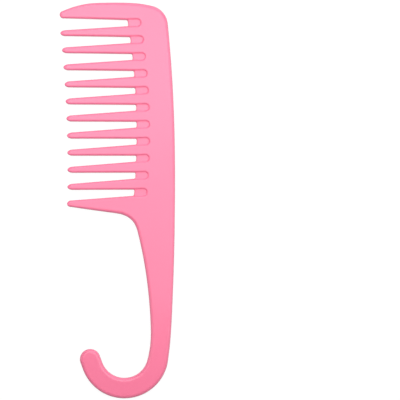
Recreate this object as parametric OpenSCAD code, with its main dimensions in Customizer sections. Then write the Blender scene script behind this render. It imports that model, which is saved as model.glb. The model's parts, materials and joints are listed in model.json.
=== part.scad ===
// Wide tooth comb with a hooked handle: one plastic moulding, divided along its own features.
// It lies flat with its back face at z = 0: +Y runs from the hook to the top edge, the teeth point
// along -X, and the origin is at the middle of its outline. Sizes are in millimetres.

/* [Overall] */
// Length over the top edge and the hook
comb_length = 240; // [238:1:246]
// Width from the tooth tips to the crest of the back
comb_width = 67.1; // [66.5:0.1:68.5]
// Thickness of the spine, the handle and the hook
thickness = 5.4; // [4.6:0.1:7]

/* [Teeth] */
// Distance from one tooth to the next
pitch = 10.27; // [9.9:0.01:10.4]
// Width of each gap where its web begins
gap_root = 3.46; // [3:0.02:4]
// Angle by which each side of a gap leans outwards towards the tips
gap_lean = 2.33; // [2:0.01:2.6]
// Length of the rounded end of a slim tooth
tip_length = 3.3; // [2.6:0.1:4]
// Thickness of a tooth just before its rounded end, as a share of the full thickness
tip_share = 0.64; // [0.5:0.01:0.9]

/* [Webs] */
// Length of the web that closes the root of each gap
web_length = 7.4; // [6:0.1:9]
// Depth of the webs below the faces
web_recess = 0.9; // [0.5:0.1:1.4]

/* [Hook] */
// Radius of the bowl that hangs on a rail or a peg
bowl_r = 14.3; // [13.5:0.1:15]
// Width of the hook across its arc
hook_w = 12.5; // [11.5:0.1:13]
// Straight stretch between the hook's arc and its round end
hook_straight = 4.2; // [1:0.1:8]

/* [Edges] */
// Width of the rounding along the outer edges
rim_r = 2.2; // [1.4:0.1:2.6]
// Width of the rounding along the teeth and the gaps
tooth_r = 1.2; // [0.8:0.1:1.4]
// Height of the flat wall at mid-thickness
wall = 1; // [0.6:0.1:1.6]

/* [Hidden] */
teeth = 12;
gaps = teeth - 1;
body_colour = [0.98, 0.58, 0.71];
web_colour = [0.96, 0.52, 0.66];

// Half lengths that place the outline on the frame
top_y = comb_length / 2;
back_x = comb_width / 2;

// Gaps: how far the first lies below the top edge, measured at root_x, and how the teeth fan out,
// in degrees a tooth, either side of the middle one
root_x = 9;
gap1_drop = 12.95;
gap1_y = top_y - gap1_drop;
fan_step = 0.122;
fan_middle = 6.8;

// Rounded ends: length on the two guard teeth, and their edge rounding as a share of the half width
guard_tip_length = 2.3;
tip_rounding = 0.9;

// Lines that bow away from the teeth: crest x, crest y, radius
web_bow = [back_x - 22.8, top_y - 65, 430];
tip_bow = [1.87 - back_x, top_y - 73, 817];

// Hook: where its centre is, and the arc that it sweeps
hook_x = -1.55;
hook_y = bowl_r + hook_w - top_y;
hook_mid_r = bowl_r + hook_w / 2;
hook_from = 198;
hook_to = 342;
hook_fn = 144;

// Height of the rounding above or below the wall, and the angle on it where a web's face lies
rise = (thickness - wall) / 2;
web_angle = asin(1 - web_recess / rise);

// Angles up the rounding, from the wall (0) to the face (90), and the same for both sides
steps_up = [0, web_angle / 2, web_angle, (2 * web_angle + 90) / 3, (web_angle + 180) / 3, 90];
levels = concat([for (a = reverse(steps_up)) [-1, a]], [for (a = steps_up) [1, a]]);
web_levels = [for (l = levels) if (l[1] <= web_angle) l];
arc_steps = 10;
bend_steps = 8;
tooth_steps = 4;

// ---- Curves in the plane of the comb ----

function unit(v) = v / norm(v);
function last(v) = v[len(v) - 1];
function polar(a, r = 1) = r * [cos(a), sin(a)];
function reverse(v) = [for (i = [len(v) - 1:-1:0]) v[i]];
function mix(a, b, t) = a * (1 - t) + b * t;

// x of a bowed line at height y
function bow(line, y) = line[0] - line[2] + sqrt(pow(line[2], 2) - pow(y - line[1], 2));

// Points after p up to q on a smooth curve that leaves p and reaches q along their headings.
// p and q are [x, y, heading]; the handles are those of a circular arc that turns as far.
function bend(p, q) =
    let (a = [p[0], p[1]], b = [q[0], q[1]], turn = max(abs(q[2] - p[2]), 1),
         reach = norm(b - a) * 2 / 3 * tan(turn / 4) / sin(turn / 2),
         c = a + polar(p[2], reach), d = b - polar(q[2], reach))
    [for (i = [1:bend_steps]) let (t = i / bend_steps, s = 1 - t)
        s * s * s * a + 3 * s * s * t * c + 3 * s * t * t * d + t * t * t * b];

// A chain of such curves through every knot
function chain(knots) = concat([[knots[0][0], knots[0][1]]],
    [for (i = [1:len(knots) - 1]) each bend(knots[i - 1], knots[i])]);

// ---- The comb's lines ----

function gap_fan(k) = fan_step * (k - fan_middle);
function gap_y(k, x) = gap1_y - (k - 1) * pitch + tan(gap_fan(k)) * (x - root_x);
function gap_half(x) = gap_root / 2 + (root_x - x) * tan(gap_lean);
function gap_top(k, x) = [x, gap_y(k, x) + gap_half(x)];
function gap_bottom(k, x) = [x, gap_y(k, x) - gap_half(x)];
function web_x(k) = bow(web_bow, gap_y(k, root_x));

// The wall round a gap's web, from the lower side of one tooth to the upper side of the next
function slot_wall(k) =
    let (x = web_x(k), r = gap_half(x), y = gap_y(k, x), lean = (y - web_bow[1]) / web_bow[2] * r,
         middle = [x + web_length - r, y + tan(gap_fan(k)) * (web_length - r)])
    concat([[x - lean, y + r]],
           [for (i = [0:arc_steps]) middle + polar(90 + gap_fan(k) - 180 * i / arc_steps, r)],
           [[x + lean, y - r]]);

// The hook's ends of the handle
hook_centre = [hook_x, hook_y];
bowl_start = hook_centre + polar(hook_to, bowl_r);
rim_start = hook_centre + polar(hook_to, bowl_r + hook_w);

// Outline of the back, from the hook to the top edge. A knot is x, y and heading.
waist = [back_x - 2.1, -20.4, 87.2];
handle_back = [[rim_start[0], rim_start[1], hook_to - 270],
               [back_x - 8.35, hook_y - 2.1, 80.3],
               [back_x - 5.1, -66, 85.5],
               waist];
spine_back = [waist,
              [back_x, 48.6, 90],
              [back_x - 1.87, top_y - 14, 94],
              [back_x - 10.9, top_y - 3, 165],
              [back_x - 22.25, top_y - 0.85, 175]];
top_edge = [last(spine_back),
            [back_x - 44.95, top_y, 180],
            [1.95 - back_x, top_y - 4.15, 201.5]];

first_low_tip = [2.65 - back_x, top_y - 8.7];

// Outline of the inner side, from the last tooth to the bowl
last_edge = [[2.95 - back_x, -3, 349],
             [back_x - 36.95, -7.85, 350],
             [back_x - 31.95, -9.35, 335]];
last_high_tip = [2.55 - back_x, 0.98];
throat = [9.2, -20.4, 282];
armpit = [last(last_edge), [7.45, -14.9, 296], throat];
handle_inner = [throat,
                [14.9, -77.5, 270],
                [bowl_start[0], bowl_start[1], hook_to - 90]];

// ---- Rounded plates: rings of an outline, one for each level ----

function level_z(l) = thickness / 2 + l[0] * (wall / 2 + rise * sin(l[1]));
function inset(l, r) = r * (1 - cos(l[1]));

// Which way a corner moves as its edges are inset by one. A seam's edge stays where it is.
function corner_move(before, at, after, seam_before, seam_after) =
    let (d1 = unit(at - before), d2 = unit(after - at), n1 = [d1[1], -d1[0]], n2 = [d2[1], -d2[0]])
    seam_before && seam_after ? [0, 0]
    : seam_before ? d1 / (d1 * n2)
    : seam_after ? d2 / (d2 * n1)
    : (n1 + n2) / (1 + n1 * n2);

// An outline's corners as [point, move, rounding]. runs is a list of [points, rounding], each run
// going anticlockwise and each joined to the next by a seam.
function corners(runs) =
    let (pts = [for (run = runs) each run[0]],
         round_at = [for (run = runs) for (p = run[0]) run[1]],
         starts = [for (run = runs) for (i = [0:len(run[0]) - 1]) i == 0],
         n = len(pts))
    [for (i = [0:n - 1])
        [pts[i],
         corner_move(pts[(i + n - 1) % n], pts[i], pts[(i + 1) % n], starts[i], starts[(i + 1) % n]),
         round_at[i]]];

function ring(cs, l) = [for (c = cs) let (p = c[0] - c[1] * inset(l, c[2])) [p[0], p[1], level_z(l)]];

// Triangles that fill an outline, by cutting off one ear after another. at holds the corners left.
function twice_area(a, b, c) = (b[0] - a[0]) * (c[1] - a[1]) - (b[1] - a[1]) * (c[0] - a[0]);
function holds(a, b, c, p) =
    twice_area(a, b, p) >= 0 && twice_area(b, c, p) >= 0 && twice_area(c, a, p) >= 0;
function corner_of(at, i) = let (n = len(at)) [at[(i + n - 1) % n], at[i], at[(i + 1) % n]];
function is_ear(pts, t, at) =
    let (a = pts[t[0]], b = pts[t[1]], c = pts[t[2]])
    twice_area(a, b, c) > 0
    && len([for (j = at) if (j != t[0] && j != t[1] && j != t[2] && holds(a, b, c, pts[j])) j]) == 0;
function next_ear(pts, at, i) = is_ear(pts, corner_of(at, i), at) ? i : next_ear(pts, at, i + 1);
function triangles(pts, at) =
    len(at) == 3 ? [at]
    : let (e = next_ear(pts, at, 0))
      concat([corner_of(at, e)], triangles(pts, [for (i = [0:len(at) - 1]) if (i != e) at[i]]));

// Solid through a stack of rings with equal counts, anticlockwise seen from the last ring's side.
// end_faces are the triangles or the polygon that close the first ring.
module skin(rings, end_faces) {
    rows = len(rings);
    n = len(rings[0]);
    polyhedron(
        points = [for (r = rings) each r],
        faces = concat(
            end_faces,
            [for (j = [0:rows - 2]) for (i = [0:n - 1])
                [j * n + i, (j + 1) * n + i, (j + 1) * n + (i + 1) % n]],
            [for (j = [0:rows - 2]) for (i = [0:n - 1])
                [j * n + i, (j + 1) * n + (i + 1) % n, j * n + (i + 1) % n]],
            [for (f = end_faces) [for (i = reverse(f)) (rows - 1) * n + i]]),
        convexity = 10);
}

// The same for rings with no hollow in their outline
module convex_skin(rings) skin(rings, [[for (i = [0:len(rings[0]) - 1]) i]]);

// ---- Teeth: sections from the root to the tip ----

// Section between the two sides of a tooth: the lower side going up, then the upper side going down
function section(low, high, low_r, high_r, share) =
    let (across = unit(high - low), mid = thickness / 2)
    concat(
        [for (l = levels) let (p = low + across * inset(l, low_r))
            [p[0], p[1], mid + share * (level_z(l) - mid)]],
        [for (l = reverse(levels)) let (p = high - across * inset(l, high_r))
            [p[0], p[1], mid + share * (level_z(l) - mid)]]);

// The rounded end that closes a tooth past its last two side points
tip_angles = [70, 50, 32, 18, 9, 2];
function tip_sections(low, high, reach) =
    let (c = (low + high) / 2, half = norm(high - low) / 2, across = unit(high - low),
         out = [-across[1], across[0]])
    [for (a = tip_angles)
        let (w = half * sin(a), p = c + out * reach * cos(a), r = min(tooth_r, tip_rounding * w))
        section(p - across * w, p + across * w, r, r, tip_share * sqrt(sin(a)))];

// A whole tooth from its two sides, both listed from the root to the tip. It thins towards its tip
// along a parabola, so that its faces leave the spine's without a crease.
module tooth_solid(low, high, low_root_r, high_root_r, reach) {
    n = len(low);
    color(body_colour)
    convex_skin(concat(
        [for (i = [0:n - 1]) let (t = i / (n - 1))
            section(low[i], high[i], mix(low_root_r, tooth_r, t), mix(high_root_r, tooth_r, t),
                    mix(1, tip_share, t * t))],
        tip_sections(last(low), last(high), reach)));
}

module slim_tooth(k) {
    low_root = slot_wall(k)[0];
    high_root = last(slot_wall(k - 1));
    middle_y = (low_root[1] + high_root[1]) / 2;
    x = bow(tip_bow, middle_y) + tip_length;
    low = [for (i = [0:tooth_steps]) mix(low_root, gap_top(k, x), i / tooth_steps)];
    high = [for (i = [0:tooth_steps]) mix(high_root, gap_bottom(k - 1, x), i / tooth_steps)];
    tooth_solid(low, high, tooth_r, tooth_r, tip_length);
}

// A straight side between two points, with one point beside each point of the other side
function beside(side, root, tip) =
    [for (p = side) mix(root, tip, (p[0] - side[0][0]) / (last(side)[0] - side[0][0]))];

// The guard tooth at the top, whose upper side is the comb's top edge
module first_tooth() {
    high = chain(top_edge);
    tooth_solid(beside(high, slot_wall(1)[0], first_low_tip), high,
                tooth_r, rim_r, guard_tip_length);
}

// The guard tooth at the bottom, whose lower side runs into the armpit of the handle
module last_tooth() {
    low = reverse(chain(last_edge));
    tooth_solid(low, beside(low, last(slot_wall(gaps)), last_high_tip),
                rim_r, tooth_r, guard_tip_length);
}

module tooth(k) {
    if (k == 1) first_tooth();
    else if (k == teeth) last_tooth();
    else slim_tooth(k);
}

// ---- The rest of the comb ----

module plate(runs) {
    cs = corners(runs);
    rings = [for (l = levels) ring(cs, l)];
    color(body_colour) skin(rings, triangles(rings[0], [for (i = [0:len(cs) - 1]) i]));
}

function spine_runs() = concat(
    [[chain(spine_back), rim_r]],
    [for (k = [1:gaps]) [slot_wall(k), tooth_r]],
    [[chain(armpit), rim_r]]);

module spine() plate(spine_runs());

module handle() plate([[chain(handle_back), rim_r], [chain(handle_inner), rim_r]]);

// The thin D of plastic that fills a gap's root, cut from the spine's own slot corners
module web(k) {
    cs = corners(spine_runs());
    wall_points = len(slot_wall(k));
    first = len(chain(spine_back)) + (k - 1) * wall_points;
    slot = reverse([for (i = [first:first + wall_points - 1]) cs[i]]);
    color(web_colour) convex_skin([for (l = web_levels) ring(slot, l)]);
}

// Half section of the hook's bar, from its middle out to the side
function bar_side(half) = [for (l = levels) [half - inset(l, rim_r), level_z(l)]];

module bar_profile() {
    side = bar_side(hook_w / 2);
    polygon(concat(side, reverse([for (p = side) [-p[0], p[1]]])));
}

module hook() {
    color(body_colour)
    translate(hook_centre) rotate([0, 0, hook_from]) {
        rotate_extrude(angle = hook_to - hook_from, $fn = hook_fn)
            translate([hook_mid_r, 0]) bar_profile();
        translate([hook_mid_r, 0, 0]) rotate([90, 0, 0])
            linear_extrude(hook_straight) bar_profile();
        translate([hook_mid_r, -hook_straight, 0]) rotate([0, 0, 180])
            rotate_extrude(angle = 180, $fn = hook_fn)
                polygon(concat([[0, 0]], bar_side(hook_w / 2), [[0, thickness]]));
    }
}

// ---- Nodes ----

function numbered(name, k) = str(name, k < 10 ? "_0" : "_", k);

spine();
handle();
hook();
for (k = [1:teeth]) tooth(k);
for (k = [1:gaps]) web(k);
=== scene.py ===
"""The looks of the wide tooth comb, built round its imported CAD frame.

Every CAD node is replaced by one finer piece, named after it with _moulding added: the same outline with
closer points, a parting line round mid-thickness, and webs with round free edges that blend into the
walls. The pieces meet face to face and share their normals where they meet, so that together they read
as the single moulding that the comb is.
Lengths are in metres and angles in degrees, unless a name says otherwise.
"""

import json
import math

import bmesh
import bpy
import numpy as np
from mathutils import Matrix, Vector
from mathutils.geometry import tessellate_polygon


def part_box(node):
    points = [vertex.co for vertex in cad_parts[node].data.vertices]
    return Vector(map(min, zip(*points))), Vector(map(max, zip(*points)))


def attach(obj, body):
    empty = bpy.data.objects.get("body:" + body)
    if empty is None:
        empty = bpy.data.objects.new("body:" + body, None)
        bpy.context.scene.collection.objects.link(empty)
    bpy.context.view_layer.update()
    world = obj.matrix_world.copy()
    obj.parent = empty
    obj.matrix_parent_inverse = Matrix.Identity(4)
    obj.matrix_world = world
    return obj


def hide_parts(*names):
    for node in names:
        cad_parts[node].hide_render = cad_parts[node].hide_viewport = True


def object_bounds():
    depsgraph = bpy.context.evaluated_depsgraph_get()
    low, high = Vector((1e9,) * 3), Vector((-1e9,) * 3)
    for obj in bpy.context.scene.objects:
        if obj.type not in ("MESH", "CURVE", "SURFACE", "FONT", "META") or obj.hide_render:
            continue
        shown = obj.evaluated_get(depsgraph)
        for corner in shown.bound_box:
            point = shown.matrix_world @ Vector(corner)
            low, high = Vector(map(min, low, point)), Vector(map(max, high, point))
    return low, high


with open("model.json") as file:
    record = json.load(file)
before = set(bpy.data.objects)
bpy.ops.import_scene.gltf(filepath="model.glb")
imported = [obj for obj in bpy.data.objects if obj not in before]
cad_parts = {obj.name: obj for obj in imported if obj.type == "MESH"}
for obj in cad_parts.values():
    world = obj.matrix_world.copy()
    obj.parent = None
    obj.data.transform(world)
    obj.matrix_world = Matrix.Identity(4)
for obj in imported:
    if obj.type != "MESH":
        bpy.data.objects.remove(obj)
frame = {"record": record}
cad_low, cad_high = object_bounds()
mounts = {mount["name"]: mount for mount in frame["record"]["mounts"]}

MM = 0.001

# ---- Sizes from the frame ----

TOP_Y = cad_high.y
BACK_X = cad_high.x
THICKNESS = cad_high.z - cad_low.z
MID_Z = (cad_high.z + cad_low.z) / 2
HOOK_CENTRE = np.array(mounts["hook_bowl"]["pos_m"][:2])
BOWL_R = mounts["hook_bowl"]["dims"]["r_mm"] * MM
HOOK_W = HOOK_CENTRE[1] - cad_low.y - BOWL_R
WEB_HALF = (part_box("web_01")[1].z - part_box("web_01")[0].z) / 2

# ---- Sizes of the design, as in the CAD source ----

TEETH = 12
GAPS = TEETH - 1
PITCH = 10.27 * MM
GAP_ROOT = 3.46 * MM
GAP_LEAN = 2.33
TIP_LENGTH = 3.3 * MM
GUARD_TIP_LENGTH = 2.3 * MM
TIP_SHARE = 0.64
WEB_LENGTH = 7.4 * MM
HOOK_STRAIGHT = 4.2 * MM
HOOK_FROM = 198
HOOK_TO = 342
RIM_R = 2.2 * MM
TOOTH_R = 1.2 * MM
WALL = 1.0 * MM
RISE = (THICKNESS - WALL) / 2
ROOT_X = 9 * MM
GAP1_Y = TOP_Y - 12.95 * MM
FAN_STEP = 0.122
FAN_MIDDLE = 6.8
WEB_BOW = (BACK_X - 22.8 * MM, TOP_Y - 65 * MM, 430 * MM)
TIP_BOW = (1.87 * MM - BACK_X, TOP_Y - 73 * MM, 817 * MM)

# ---- Fine detail that only the visible pieces have ----

PART_LINE = 0.04 * MM
FACE_MARGIN = 0.2 * MM
WEB_NOSE = 0.8 * MM
WEB_CORNER_R = 0.9 * MM
FLOOR_BLEND = 0.25 * MM
# A tooth's round end: its rings, the angles that they run between, and its rounding's share of a half width
TIP_RINGS = 16
TIP_FIRST_ANGLE = 78
TIP_LAST_ANGLE = 2
TIP_ROUNDING = 0.8

# ---- How finely the curves are cut ----

POINT_STEP = 0.8 * MM
ARC_STEP = 3.0
EDGE_STEPS = 12
# Points along a web: round its free edge, along its straight sides, round its end, and up its rim
NOSE_POINTS = 12
SIDE_POINTS = 6
END_POINTS = 16
RIM_POINTS = 6
# Rows across a half web, as shares of the way in from the slot's wall
WEB_ROW_SHARES = (0, 0.015, 0.035, 0.06, 0.09, 0.13, 0.18, 0.25, 0.36, 0.52, 0.75)

# ---- Where faces count as one surface ----

WELD_GAP = MM / 2000
SAME_PLACE = MM / 200
SAME_SKIN = 35


# ---- Curves in the plane of the comb ----

def polar(angle, radius=1.0):
    turn = math.radians(angle)
    return radius * np.array([math.cos(turn), math.sin(turn)])


def unit(vector):
    return vector / np.linalg.norm(vector)


def mix(a, b, share):
    return a * (1 - share) + b * share


def bow(line, y):
    """x at height y on a line that bows away from the teeth: its crest's x and y, and its radius."""
    crest_x, crest_y, radius = line
    return crest_x - radius + math.sqrt(radius**2 - (y - crest_y) ** 2)


def bend(start, end):
    """Points after start up to end, each of them (x, y, heading), with the handles of a circular arc."""
    a, b = np.array(start[:2]), np.array(end[:2])
    turn = math.radians(max(abs(end[2] - start[2]), 1.0))
    reach = np.linalg.norm(b - a) * 2 / 3 * math.tan(turn / 4) / math.sin(turn / 2)
    c, d = a + polar(start[2], reach), b - polar(end[2], reach)
    count = math.ceil(max(np.linalg.norm(b - a) / POINT_STEP, math.degrees(turn) / ARC_STEP))
    t = np.linspace(0, 1, count + 1)[1:, None]
    s = 1 - t
    return s**3 * a + 3 * s**2 * t * c + 3 * s * t**2 * d + t**3 * b


def chain(knots):
    parts = [np.array([knots[0][:2]])]
    parts += [bend(one, other) for one, other in zip(knots, knots[1:])]
    return np.concatenate(parts)


def arc(centre, radius, start, end):
    count = math.ceil(abs(end - start) / ARC_STEP)
    return np.array([centre + polar(angle, radius) for angle in np.linspace(start, end, count + 1)])


def straight(a, b, step=POINT_STEP):
    count = math.ceil(np.linalg.norm(b - a) / step)
    return np.array([mix(a, b, share) for share in np.linspace(0, 1, count + 1)])


# ---- The comb's lines ----

def gap_fan(k):
    return FAN_STEP * (k - FAN_MIDDLE)


def gap_y(k, x):
    return GAP1_Y - (k - 1) * PITCH + math.tan(math.radians(gap_fan(k))) * (x - ROOT_X)


def gap_half(x):
    return GAP_ROOT / 2 + (ROOT_X - x) * math.tan(math.radians(GAP_LEAN))


def gap_side(k, x, side):
    return np.array([x, gap_y(k, x) + side * gap_half(x)])


class Slot:
    """The recess round gap k's web: its half width, the middle of its round end, and its two corners."""

    def __init__(self, k):
        self.fan = gap_fan(k)
        x = bow(WEB_BOW, gap_y(k, ROOT_X))
        y = gap_y(k, x)
        self.half = gap_half(x)
        self.side_length = WEB_LENGTH - self.half
        lean = (y - WEB_BOW[1]) / WEB_BOW[2] * self.half
        self.middle = np.array([x, y]) + self.side_length * np.array([1, math.tan(math.radians(self.fan))])
        self.corners = {1: np.array([x - lean, y + self.half]), -1: np.array([x + lean, y - self.half])}
        tip_x = bow(TIP_BOW, y) + TIP_LENGTH
        self.out = {side: unit(gap_side(k, tip_x, side) - self.corners[side]) for side in (1, -1)}

    def arc_start(self, side):
        return self.middle + polar(side * 90 + self.fan, self.half)

    def wall(self):
        """From the lower side of one tooth, round the end, to the upper side of the next."""
        upper = straight(self.corners[1], self.arc_start(1))
        lower = straight(self.arc_start(-1), self.corners[-1])
        end = arc(self.middle, self.half, 90 + self.fan, self.fan - 90)
        return np.concatenate([upper[:-1], end, lower[1:]])

    def beside(self, side, along):
        """A point on one side of the slot, that far in from its corner, and the way into the solid."""
        if along < 0:
            away = self.out[side]
            return self.corners[side] - along * away, side * np.array([away[1], -away[0]])
        if along <= self.side_length:
            share = along / self.side_length
            return mix(self.corners[side], self.arc_start(side), share), polar(side * 90 + self.fan)
        turn = math.degrees(math.asin(min((along - self.side_length) / self.half, 1.0)))
        way = polar(side * (90 - turn) + self.fan)
        return self.middle + self.half * way, way


SLOTS = {k: Slot(k) for k in range(1, GAPS + 1)}
BOWL_START = HOOK_CENTRE + polar(HOOK_TO, BOWL_R)
RIM_START = HOOK_CENTRE + polar(HOOK_TO, BOWL_R + HOOK_W)


def from_back(inward, y, heading):
    return BACK_X - inward * MM, y, heading


def from_top(inward, down, heading):
    return BACK_X - inward * MM, TOP_Y - down * MM, heading


WAIST = from_back(2.1, -20.4 * MM, 87.2)
HANDLE_BACK = chain([
    (*RIM_START, HOOK_TO - 270),
    from_back(8.35, HOOK_CENTRE[1] - 2.1 * MM, 80.3),
    from_back(5.1, -66 * MM, 85.5),
    WAIST,
])
SPINE_BACK = chain([
    WAIST,
    from_back(0, 48.6 * MM, 90),
    from_top(1.87, 14, 94),
    from_top(10.9, 3, 165),
    from_top(22.25, 0.85, 175),
])
TOP_EDGE = chain([
    from_top(22.25, 0.85, 175),
    from_top(44.95, 0, 180),
    (1.95 * MM - BACK_X, TOP_Y - 4.15 * MM, 201.5),
])
FIRST_LOW_TIP = np.array([2.65 * MM - BACK_X, TOP_Y - 8.7 * MM])
LAST_EDGE = chain([
    (2.95 * MM - BACK_X, -3 * MM, 349),
    from_back(36.95, -7.85 * MM, 350),
    from_back(31.95, -9.35 * MM, 335),
])
LAST_HIGH_TIP = np.array([2.55 * MM - BACK_X, 0.98 * MM])
THROAT = (9.2 * MM, -20.4 * MM, 282)
ARMPIT = chain([
    from_back(31.95, -9.35 * MM, 335),
    (7.45 * MM, -14.9 * MM, 296),
    THROAT,
])
HANDLE_INNER = chain([
    THROAT,
    (14.9 * MM, -77.5 * MM, 270),
    (*BOWL_START, HOOK_TO - 90),
])


# ---- Rounded edges ----

def edge_angles():
    """Angles up the rounding from the wall to the face, one of them where a web's floor blends in."""
    blend = math.degrees(math.asin((WEB_HALF + FLOOR_BLEND - WALL / 2) / RISE))
    even = [90 * i / EDGE_STEPS for i in range(EDGE_STEPS + 1)]
    return sorted(even + [blend])


def half_profile():
    """(fixed inset, share of the rounding, height over mid-thickness) from the parting line to the face."""
    levels = [(0.0, 0.0, 0.0), (PART_LINE, 0.0, 2 * PART_LINE)]
    for angle in edge_angles():
        turn = math.radians(angle)
        levels.append((PART_LINE, 1 - math.cos(turn), WALL / 2 + RISE * math.sin(turn)))
    levels.append((PART_LINE + FACE_MARGIN, 1.0, THICKNESS / 2))
    return levels


UPPER = half_profile()
PROFILE = np.array([(fixed, share, -height) for fixed, share, height in UPPER[:0:-1]] + UPPER)


def wall_inset(height):
    """How far a gap's wall stands back from the outline at a height over or under mid-thickness."""
    up = (abs(height) - WALL / 2) / RISE
    return PART_LINE if up <= 0 else PART_LINE + TOOTH_R * (1 - math.sqrt(max(1 - up**2, 0)))


# ---- Meshes ----

def make_piece(node, points, faces, seams=()):
    """A closed mesh that stands for a CAD node. seams are the flat faces where it meets its neighbours."""
    mesh = bpy.data.meshes.new(f"{node}_moulding")
    mesh.from_pydata([tuple(p) for p in points], [], [tuple(map(int, f)) for f in [*faces, *seams]])
    mesh.polygons.foreach_set("use_smooth", [True] * len(faces) + [False] * len(seams))
    work = bmesh.new()
    work.from_mesh(mesh)
    bmesh.ops.remove_doubles(work, verts=work.verts, dist=WELD_GAP)
    bmesh.ops.recalc_face_normals(work, faces=work.faces)
    work.to_mesh(mesh)
    work.free()
    piece = bpy.data.objects.new(mesh.name, mesh)
    bpy.context.scene.collection.objects.link(piece)
    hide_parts(node)
    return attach(piece, "root")


def strips(rows, count, closed=True):
    """Quads between successive rows of points, which go round in a loop unless closed is false."""
    across = range(count if closed else count - 1)
    return [
        (r * count + i, r * count + (i + 1) % count, (r + 1) * count + (i + 1) % count, (r + 1) * count + i)
        for r in range(rows - 1)
        for i in across
    ]


def corner_moves(runs):
    """For each corner of the outline, which way it moves as the edges are inset by one. Seams stay."""
    points = np.concatenate([run[0] for run in runs])
    firsts = np.concatenate([[True] + [False] * (len(run[0]) - 1) for run in runs])
    ahead = np.roll(points, -1, axis=0) - points
    ahead /= np.linalg.norm(ahead, axis=1)[:, None]
    moves = []
    for i in range(len(points)):
        d1, d2 = ahead[i - 1], ahead[i]
        n1, n2 = np.array([d1[1], -d1[0]]), np.array([d2[1], -d2[0]])
        if firsts[i]:
            moves.append(d1 / (d1 @ n2))
        elif firsts[(i + 1) % len(points)]:
            moves.append(d2 / (d2 @ n1))
        else:
            moves.append((n1 + n2) / (1 + n1 @ n2))
    return points, np.array(moves), firsts


def plate(node, runs):
    """A flat piece with rounded edges. runs are (points, rounding), anticlockwise, joined by seams."""
    points, moves, firsts = corner_moves(runs)
    rounding = np.concatenate([[run[1]] * len(run[0]) for run in runs])
    count = len(points)
    rings = []
    for fixed, share, height in PROFILE:
        ring = points - moves * (fixed + share * rounding)[:, None]
        rings.append(np.column_stack([ring, np.full(count, MID_Z + height)]))
    seam_edges = [i for i in range(count) if firsts[(i + 1) % count]]
    sides = strips(len(rings), count)
    seams = [face for face in sides if face[0] % count in seam_edges]
    sides = [face for face in sides if face[0] % count not in seam_edges]
    lid = tessellate_polygon([[Vector(p) for p in rings[-1]]])
    top = (len(rings) - 1) * count
    faces = sides + [tuple(top + i for i in t) for t in lid] + [tuple(reversed(t)) for t in lid]
    return make_piece(node, np.concatenate(rings), faces, seams)


# ---- Teeth ----

def section(low, high, low_r, high_r, thick, fine=1.0):
    """A tooth's cut between its two sides: up the lower side and down the upper one.

    thick is its share of the full thickness, and fine is the share of the fixed insets that it keeps.
    """
    across = unit(high - low)
    fixed, share, height = PROFILE.T
    low_side = low + across * (fixed * fine + share * low_r)[:, None]
    high_side = high - across * (fixed * fine + share * high_r)[:, None]
    sides = np.concatenate([low_side, high_side[::-1]])
    heights = np.concatenate([height, height[::-1]])
    return np.column_stack([sides, MID_Z + thick * heights])


def tip_sections(low, high, reach):
    """The round end of a tooth, from its last side points to its point."""
    centre, half, across = (low + high) / 2, np.linalg.norm(high - low) / 2, unit(high - low)
    out = np.array([-across[1], across[0]])
    sections = []
    for angle in np.geomspace(TIP_FIRST_ANGLE, TIP_LAST_ANGLE, TIP_RINGS):
        width = math.sin(math.radians(angle))
        spot = centre + out * reach * math.cos(math.radians(angle))
        rounding = min(TOOTH_R, TIP_ROUNDING * half * width)
        sides = spot - across * half * width, spot + across * half * width
        sections.append(section(*sides, rounding, rounding, TIP_SHARE * math.sqrt(width), width))
    return sections


def tooth_piece(node, low, high, low_root_r, high_root_r, reach):
    """A tooth between its two sides, both listed from the root to the tip."""
    shares = np.linspace(0, 1, len(low))
    sections = [
        section(a, b, mix(low_root_r, TOOTH_R, t), mix(high_root_r, TOOTH_R, t), mix(1, TIP_SHARE, t**2))
        for a, b, t in zip(low, high, shares)
    ]
    sections += tip_sections(low[-1], high[-1], reach)
    count = len(sections[0])
    end = [tuple(range((len(sections) - 1) * count, len(sections) * count))]
    root = [tuple(range(count))]
    return make_piece(node, np.concatenate(sections), strips(len(sections), count) + end, root)


def beside(side, root, tip):
    """Points on the straight line from root to tip, one beside each point of the other side."""
    shares = (side[:, 0] - side[0, 0]) / (side[-1, 0] - side[0, 0])
    return np.array([mix(root, tip, share) for share in shares])


def make_tooth(k):
    node = f"tooth_{k:02d}"
    if k == 1:
        low = beside(TOP_EDGE, SLOTS[1].corners[1], FIRST_LOW_TIP)
        return tooth_piece(node, low, TOP_EDGE, TOOTH_R, RIM_R, GUARD_TIP_LENGTH)
    if k == TEETH:
        low = LAST_EDGE[::-1]
        high = beside(low, SLOTS[GAPS].corners[-1], LAST_HIGH_TIP)
        return tooth_piece(node, low, high, RIM_R, TOOTH_R, GUARD_TIP_LENGTH)
    low_root, high_root = SLOTS[k].corners[1], SLOTS[k - 1].corners[-1]
    x = bow(TIP_BOW, (low_root[1] + high_root[1]) / 2) + TIP_LENGTH
    count = math.ceil((low_root[0] - x) / (2 * POINT_STEP)) + 1
    shares = np.linspace(0, 1, count)
    low = np.array([mix(low_root, gap_side(k, x, 1), t) for t in shares])
    high = np.array([mix(high_root, gap_side(k - 1, x, -1), t) for t in shares])
    return tooth_piece(node, low, high, TOOTH_R, TOOTH_R, TIP_LENGTH)


# ---- Webs ----

def web_rows():
    """Shares of the way from the slot's middle to its wall, closer together near the wall."""
    upper = [1 - share for share in WEB_ROW_SHARES]
    return [-share for share in upper] + [0] + upper[::-1]


def web_corner(gap):
    """How far the web's free edge runs out along a tooth's side, at that distance from the side."""
    if gap >= WEB_CORNER_R:
        return 0.0
    return WEB_CORNER_R - math.sqrt(WEB_CORNER_R**2 - (WEB_CORNER_R - gap) ** 2)


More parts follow.
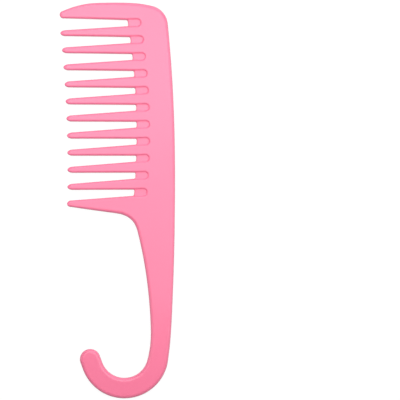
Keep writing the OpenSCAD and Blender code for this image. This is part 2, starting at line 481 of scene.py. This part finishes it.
def web_height(from_nose, from_wall):
    """Half thickness of a web: round at its free edge, and swept up where it meets the slot's wall."""
    nose = math.sqrt(1 - max(1 - from_nose / WEB_NOSE, 0) ** 2)
    lift = FLOOR_BLEND * max(1 - from_wall / FLOOR_BLEND, 0) ** 2
    return nose * (WEB_HALF + lift)


def make_web(k):
    """The thin D of plastic in the root of a gap: two skins that meet at its free edge, and its rim."""
    slot = SLOTS[k]
    rows = web_rows()
    nose_end = 2 * WEB_NOSE
    nose = [1 - math.cos(math.radians(a)) for a in np.linspace(0, 90, NOSE_POINTS)]
    inner = np.linspace(0, slot.side_length - nose_end, SIDE_POINTS)[1:] + nose_end
    turns = np.linspace(0, 90, END_POINTS)[1:]
    ends = [slot.side_length + slot.half * math.sin(math.radians(a)) for a in turns]
    columns = len(nose) + len(inner) + len(ends)

    def along(row, column):
        edge = -web_corner((1 - abs(row)) * slot.half)
        if column < len(nose):
            return edge, edge + (nose_end - edge) * nose[column]
        return edge, [*inner, *ends][column - len(nose)]

    def height_at(row, column):
        edge, place = along(row, column)
        gap = (1 - abs(row)) * slot.half
        if place > slot.side_length:
            spot = (np.array(slot.beside(1, place)[0]) * (1 + row)
                    + np.array(slot.beside(-1, place)[0]) * (1 - row)) / 2
            gap = slot.half - np.linalg.norm(spot - slot.middle)
        return place, web_height(place - edge, gap)

    def wall_point(side, place, height):
        spot, way = slot.beside(side, place)
        return spot + way * wall_inset(height)

    points = []
    for face in (1, -1):
        for column in range(columns):
            for row in rows:
                place, height = height_at(row, column)
                rim = height_at(1, column)[1]
                upper, lower = wall_point(1, place, rim), wall_point(-1, place, rim)
                spot = mix(lower, upper, (1 + row) / 2)
                points.append((*spot, MID_Z + face * height))
    count = len(rows)
    skin = strips(columns, count, closed=False)
    faces = skin + [tuple(columns * count + i for i in reversed(f)) for f in skin]
    for side in (1, -1):
        start = len(points)
        for column in range(columns):
            place, height = height_at(side, column)
            for share in np.linspace(1, -1, RIM_POINTS):
                points.append((*wall_point(side, place, height * share), MID_Z + height * share))
        faces += [tuple(start + i for i in f) for f in strips(columns, RIM_POINTS, closed=False)]
    return make_piece(f"web_{k:02d}", points, faces)


# ---- Spine, handle and hook ----

def make_spine():
    slots = [(SLOTS[k].wall(), TOOTH_R) for k in range(1, GAPS + 1)]
    return plate("spine", [(SPINE_BACK, RIM_R), *slots, (ARMPIT, RIM_R)])


def make_handle():
    return plate("handle", [(HANDLE_BACK, RIM_R), (HANDLE_INNER, RIM_R)])


def make_hook():
    """One run from the handle's inner side round the bowl, the round end and the outer rim."""
    bar_middle = BOWL_R + HOOK_W / 2
    back = polar(HOOK_FROM - 90, HOOK_STRAIGHT)
    inner = arc(HOOK_CENTRE, BOWL_R, HOOK_TO, HOOK_FROM)
    outer = arc(HOOK_CENTRE, BOWL_R + HOOK_W, HOOK_FROM, HOOK_TO)
    tip_centre = HOOK_CENTRE + polar(HOOK_FROM, bar_middle) + back
    tip = arc(tip_centre, HOOK_W / 2, HOOK_FROM - 180, HOOK_FROM)
    return plate("hook", [(np.concatenate([inner, tip, outer]), RIM_R)])


# ---- One skin over all the pieces ----

def corner_table(mesh):
    """For every face corner: its place, its face's normal, and the corner's angle (0 on a seam)."""
    count = len(mesh.loops)
    places = np.empty(len(mesh.vertices) * 3)
    mesh.vertices.foreach_get("co", places)
    vertex = np.empty(count, int)
    mesh.loops.foreach_get("vertex_index", vertex)
    places = places.reshape(-1, 3)[vertex]
    normals, angles = np.empty((count, 3)), np.empty(count)
    for face in mesh.polygons:
        corners = range(face.loop_start, face.loop_start + face.loop_total)
        normals[list(corners)] = face.normal
        spots = places[list(corners)]
        before, after = np.roll(spots, 1, axis=0) - spots, np.roll(spots, -1, axis=0) - spots
        size = np.linalg.norm(before, axis=1) * np.linalg.norm(after, axis=1)
        cosine = (before * after).sum(axis=1) / np.maximum(size, 1e-18)
        angles[list(corners)] = np.arccos(np.clip(cosine, -1, 1)) if face.use_smooth else 0
    return places, normals, angles


def share_normals(pieces):
    """Smooths the shading over all the pieces at once, so that none of their seams shows."""
    tables = [corner_table(piece.data) for piece in pieces]
    places, normals, angles = (np.concatenate(column) for column in zip(*tables))
    _, group = np.unique(np.round(places / SAME_PLACE).astype(np.int64), axis=0, return_inverse=True)
    group = group.ravel()
    order = np.argsort(group, kind="stable")
    sizes = np.bincount(group)
    start = np.concatenate([[0], np.cumsum(sizes)[:-1]])[group[order]]
    size = sizes[group[order]]
    within = np.arange(len(order)) - start
    facing, weight = normals[order], angles[order]
    total = facing * 1e-6  # so that a corner with no weight near it still has a direction
    alike = math.cos(math.radians(SAME_SKIN))
    for shift in range(sizes.max()):
        these = np.nonzero(shift < size)[0]
        other = start[these] + (within[these] + shift) % size[these]
        close = (facing[these] * facing[other]).sum(axis=1) > alike
        total[these] += facing[other] * (weight[other] * close)[:, None]
    total /= np.linalg.norm(total, axis=1)[:, None]
    shared = np.empty_like(total)
    shared[order] = np.where(weight[:, None] > 0, total, facing)
    first = 0
    for piece in pieces:
        count = len(piece.data.loops)
        piece.data.normals_split_custom_set(shared[first:first + count].tolist())
        first += count


# ---- Materials ----

# The two pinks that the flow clouds run between
PINK = ((0.91, 0.195, 0.33, 1), (0.92, 0.201, 0.339, 1))
# Noise features per metre: the clouds in the colour, the patches in the sheen, and the moulded grain
CLOUD_SCALE = 45
SHEEN_SCALE = 90
GRAIN_SCALE = 2600
GRAIN_DEPTH = 0.02 * MM
SHEEN_ROUGHNESS = (0.29, 0.33)


def new_material(name):
    material = bpy.data.materials.new(name)
    material.use_nodes = True
    return material, material.node_tree.nodes, material.node_tree.links


def noise(nodes, links, place, scale, detail=3.0):
    node = nodes.new("ShaderNodeTexNoise")
    node.inputs["Scale"].default_value = scale
    node.inputs["Detail"].default_value = detail
    links.new(place, node.inputs["Vector"])
    return node.outputs["Fac"]


def ranged(nodes, links, value, low, high):
    """Spreads a noise value, which is mostly between 0.3 and 0.7, from low to high."""
    node = nodes.new("ShaderNodeMapRange")
    node.inputs["From Min"].default_value = 0.3
    node.inputs["From Max"].default_value = 0.7
    node.inputs["To Min"].default_value = low
    node.inputs["To Max"].default_value = high
    links.new(value, node.inputs["Value"])
    return node.outputs["Result"]


def pink_plastic():
    """Satin moulded plastic: faint flow clouds in the colour, uneven sheen, and a fine moulded grain."""
    material, nodes, links = new_material("pink_plastic")
    shader = nodes["Principled BSDF"]
    shader.inputs["IOR"].default_value = 1.48
    shader.inputs["Specular IOR Level"].default_value = 0.1
    shader.inputs["Coat Weight"].default_value = 0.75
    shader.inputs["Coat Roughness"].default_value = 0.22
    shader.inputs["Coat IOR"].default_value = 1.5
    place = nodes.new("ShaderNodeTexCoord").outputs["Object"]
    clouds = nodes.new("ShaderNodeMix")
    clouds.data_type = "RGBA"
    clouds.inputs["A"].default_value, clouds.inputs["B"].default_value = PINK
    links.new(ranged(nodes, links, noise(nodes, links, place, CLOUD_SCALE), 0, 1), clouds.inputs["Factor"])
    links.new(clouds.outputs["Result"], shader.inputs["Base Color"])
    sheen = ranged(nodes, links, noise(nodes, links, place, SHEEN_SCALE), *SHEEN_ROUGHNESS)
    links.new(sheen, shader.inputs["Roughness"])
    grain = nodes.new("ShaderNodeBump")
    grain.inputs["Strength"].default_value = 0.12
    grain.inputs["Distance"].default_value = GRAIN_DEPTH
    links.new(noise(nodes, links, place, GRAIN_SCALE, detail=2), grain.inputs["Height"])
    links.new(grain.outputs["Normal"], shader.inputs["Normal"])
    return material


def floor_material():
    """A pale studio table, lit enough to stay white round the comb."""
    material, nodes, _ = new_material("pale_floor")
    shader = nodes["Principled BSDF"]
    shader.inputs["Base Color"].default_value = (0.12, 0.12, 0.12, 1)
    shader.inputs["Roughness"].default_value = 0.9
    shader.inputs["Specular IOR Level"].default_value = 0.1
    shader.inputs["Emission Color"].default_value = (1, 1, 1, 1)
    shader.inputs["Emission Strength"].default_value = 0.92
    return material


# ---- Stage ----

VIEW_WIDTH = 242.3 * MM
VIEW_CENTRE = (47.46 * MM, -1.48 * MM)
VIEW_TURN = -2
CAMERA_HEIGHT = 1.0
FLOOR_SIZE = 6.0
FLOOR_GAP = 0.02 * MM


def make_floor():
    bpy.ops.mesh.primitive_plane_add(size=FLOOR_SIZE, location=(0, 0, cad_low.z - FLOOR_GAP))
    floor = bpy.context.object
    floor.name = "floor"
    floor.data.materials.append(floor_material())
    floor.visible_diffuse = False


def make_light(name, place, target, size, power):
    """A soft box: where it stands, where it points, its width and height, and its power in watts."""
    data = bpy.data.lights.new(name, "AREA")
    data.shape = "RECTANGLE"
    data.size, data.size_y = size
    data.energy = power
    light = bpy.data.objects.new(name, data)
    light.location = place
    light.rotation_euler = (Vector(target) - Vector(place)).to_track_quat("-Z", "Y").to_euler()
    bpy.context.scene.collection.objects.link(light)


def make_lights():
    make_light("key", (0.1, 0.85, 0.4), (0.02, 0.06, 0), (1.1, 0.5), 3.4)
    make_light("upper_softbox", (0.02, 0.175, 0.45), (0.02, 0.175, 0), (0.5, 0.27), 1.39)
    make_light("lower_softbox", (0.02, -0.035, 0.45), (0.02, -0.035, 0), (0.5, 0.15), 0.475)
    make_light("right", (0.62, 0.05, 0.42), (0, 0.05, 0), (0.6, 1.0), 2.6)
    make_light("left", (-0.9, 0, 0.3), (0, 0, 0), (0.5, 1.0), 2.0)
    make_light("front", (0, -0.85, 0.4), (0, -0.05, 0), (1.1, 0.4), 0.8)


def make_world():
    world = bpy.data.worlds.new("studio")
    world.use_nodes = True
    world.node_tree.nodes["Background"].inputs["Color"].default_value = (1, 1, 1, 1)
    world.node_tree.nodes["Background"].inputs["Strength"].default_value = 0.16
    bpy.context.scene.world = world
    bpy.context.scene.view_settings.view_transform = "Standard"


def make_camera():
    data = bpy.data.cameras.new("camera")
    data.lens = data.sensor_width * CAMERA_HEIGHT / VIEW_WIDTH
    camera = bpy.data.objects.new("camera", data)
    camera.location = (*VIEW_CENTRE, MID_Z + CAMERA_HEIGHT)
    camera.rotation_euler = (0, 0, math.radians(VIEW_TURN))
    bpy.context.scene.collection.objects.link(camera)
    bpy.context.scene.camera = camera


# ---- The comb ----

def make_comb():
    pieces = [make_spine(), make_handle(), make_hook()]
    pieces += [make_tooth(k) for k in range(1, TEETH + 1)]
    pieces += [make_web(k) for k in range(1, GAPS + 1)]
    share_normals(pieces)
    plastic = pink_plastic()
    for piece in pieces:
        piece.data.materials.append(plastic)


make_comb()
make_floor()
make_lights()
make_world()
make_camera()
